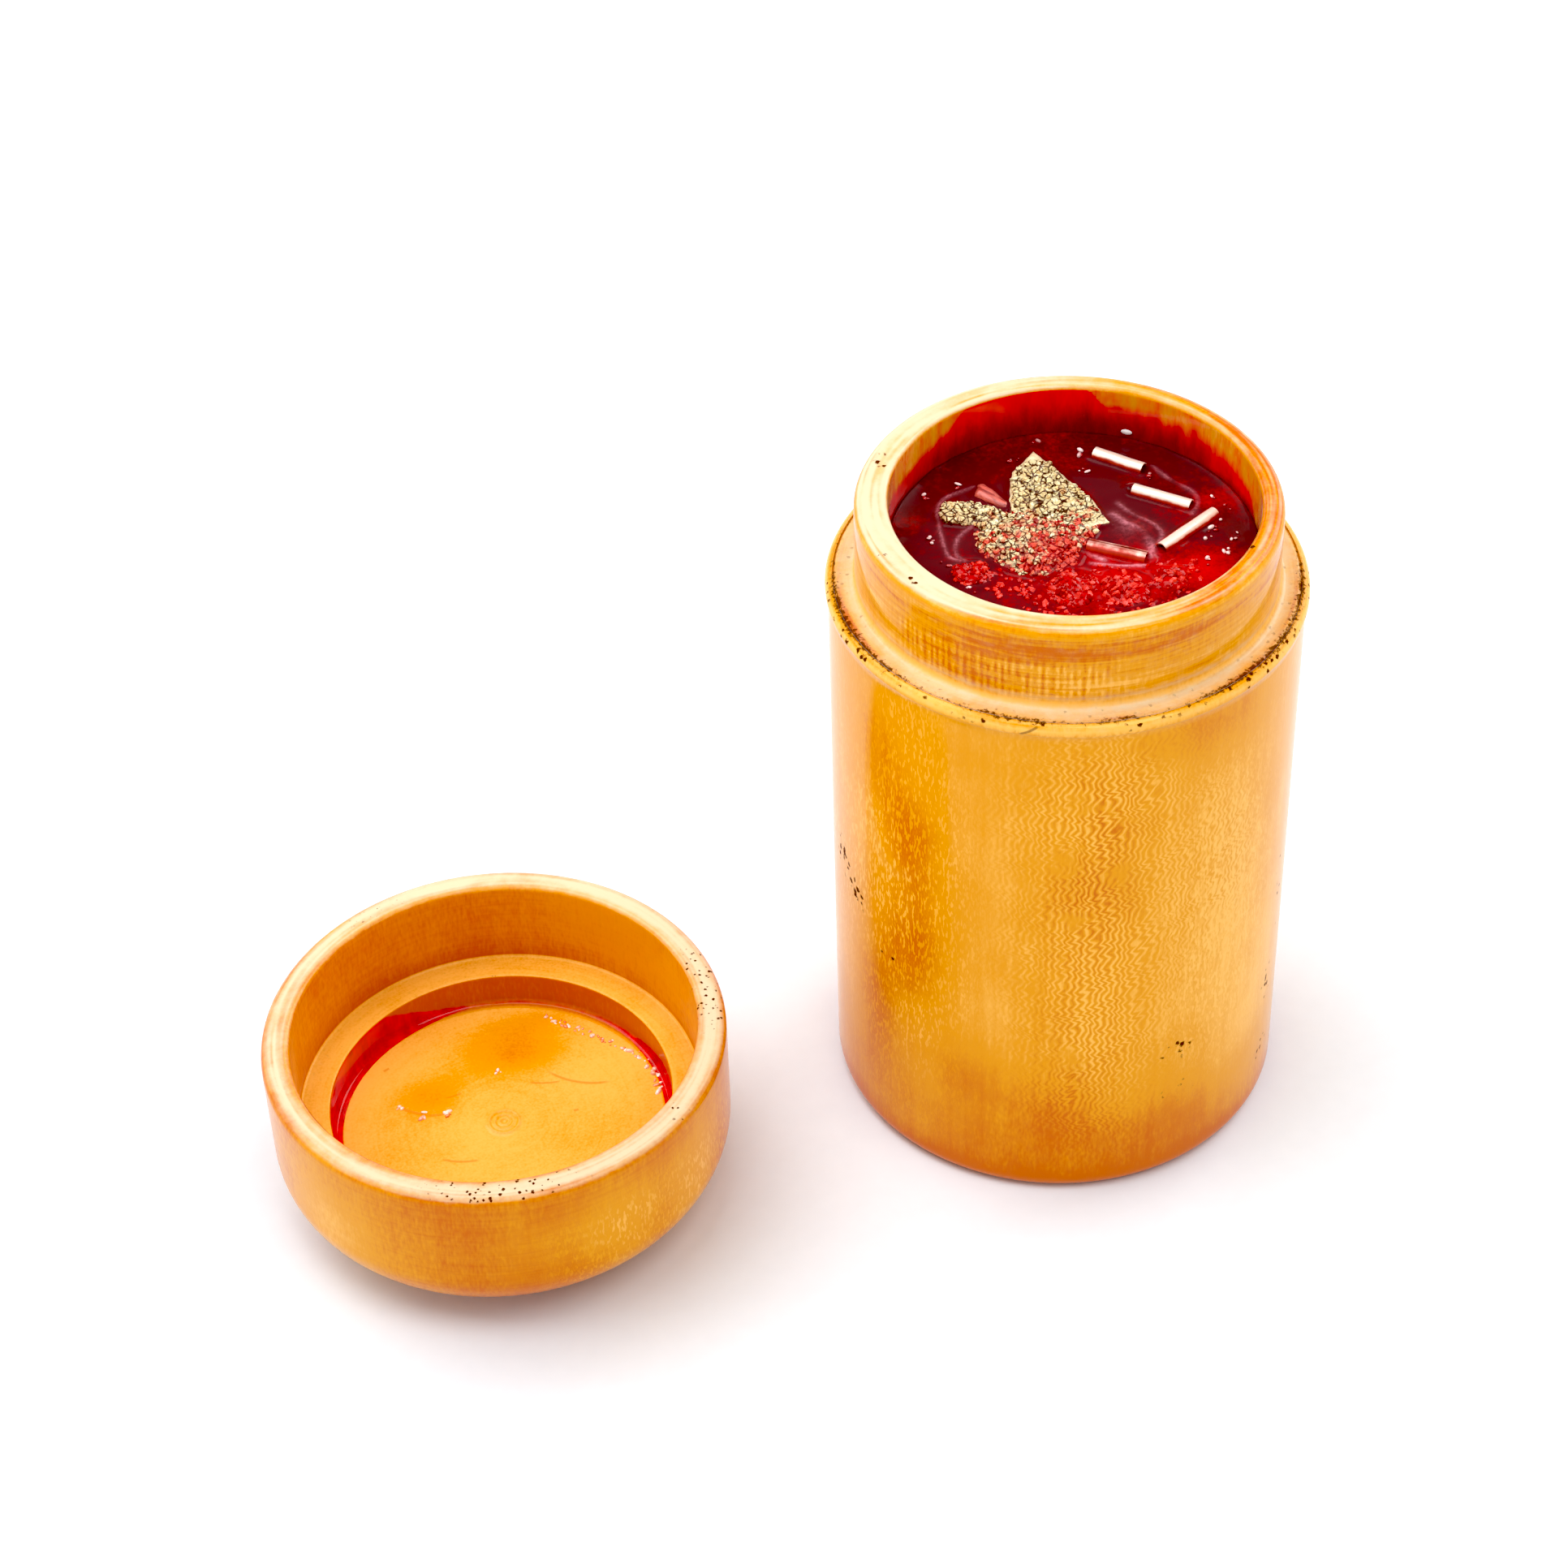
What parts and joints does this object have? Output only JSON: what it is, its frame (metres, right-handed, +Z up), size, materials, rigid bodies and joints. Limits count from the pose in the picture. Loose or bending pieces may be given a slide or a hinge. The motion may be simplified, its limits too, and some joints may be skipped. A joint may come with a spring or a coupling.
{
  "type": "medicine jar",
  "caption": "Turned wooden medicine jar with a lift-off slip lid, shown open, holding dark red balm with rolled foil tubes, gilded chips and resin lumps",
  "frame": {"origin": "centre of the jar's flat foot, on the table", "axes": "+Z up along the jar's axis; -X towards the lid that stands upside down beside the jar; the picture looks from -Y and a little from -X"},
  "size_m": [0.0919, 0.0402, 0.0616],
  "materials": {
    "boxwood": "polished, glossy and worn at the edges",
    "balm": "wet thick oil",
    "foil": "rolled metal foil, oily",
    "leaf": "crumpled gold leaf",
    "bark": "oil-soaked bark",
    "resin": "granular, wet"
  },
  "bodies": {
    "jar": {"jar_body": "boxwood", "balm": "balm", "tube_1": "foil", "tube_2": "foil", "tube_3": "foil", "tube_4": "foil", "corner_chip": "leaf", "long_chip": "leaf", "bark_chip": "bark", "gilded_paste": "leaf", "lump_1": "resin", "lump_2": "resin", "lump_3": "resin", "lump_4": "resin"},
    "lid": {"lid": "boxwood"}
  },
  "joints": [
    {"name": "lid_turnover", "type": "hinge", "parent": "jar", "child": "lid", "pos_m": [-0.0259, 0, 0.04055], "axis": [0, 1, 0], "range_deg": [0, 180]}
  ]
}
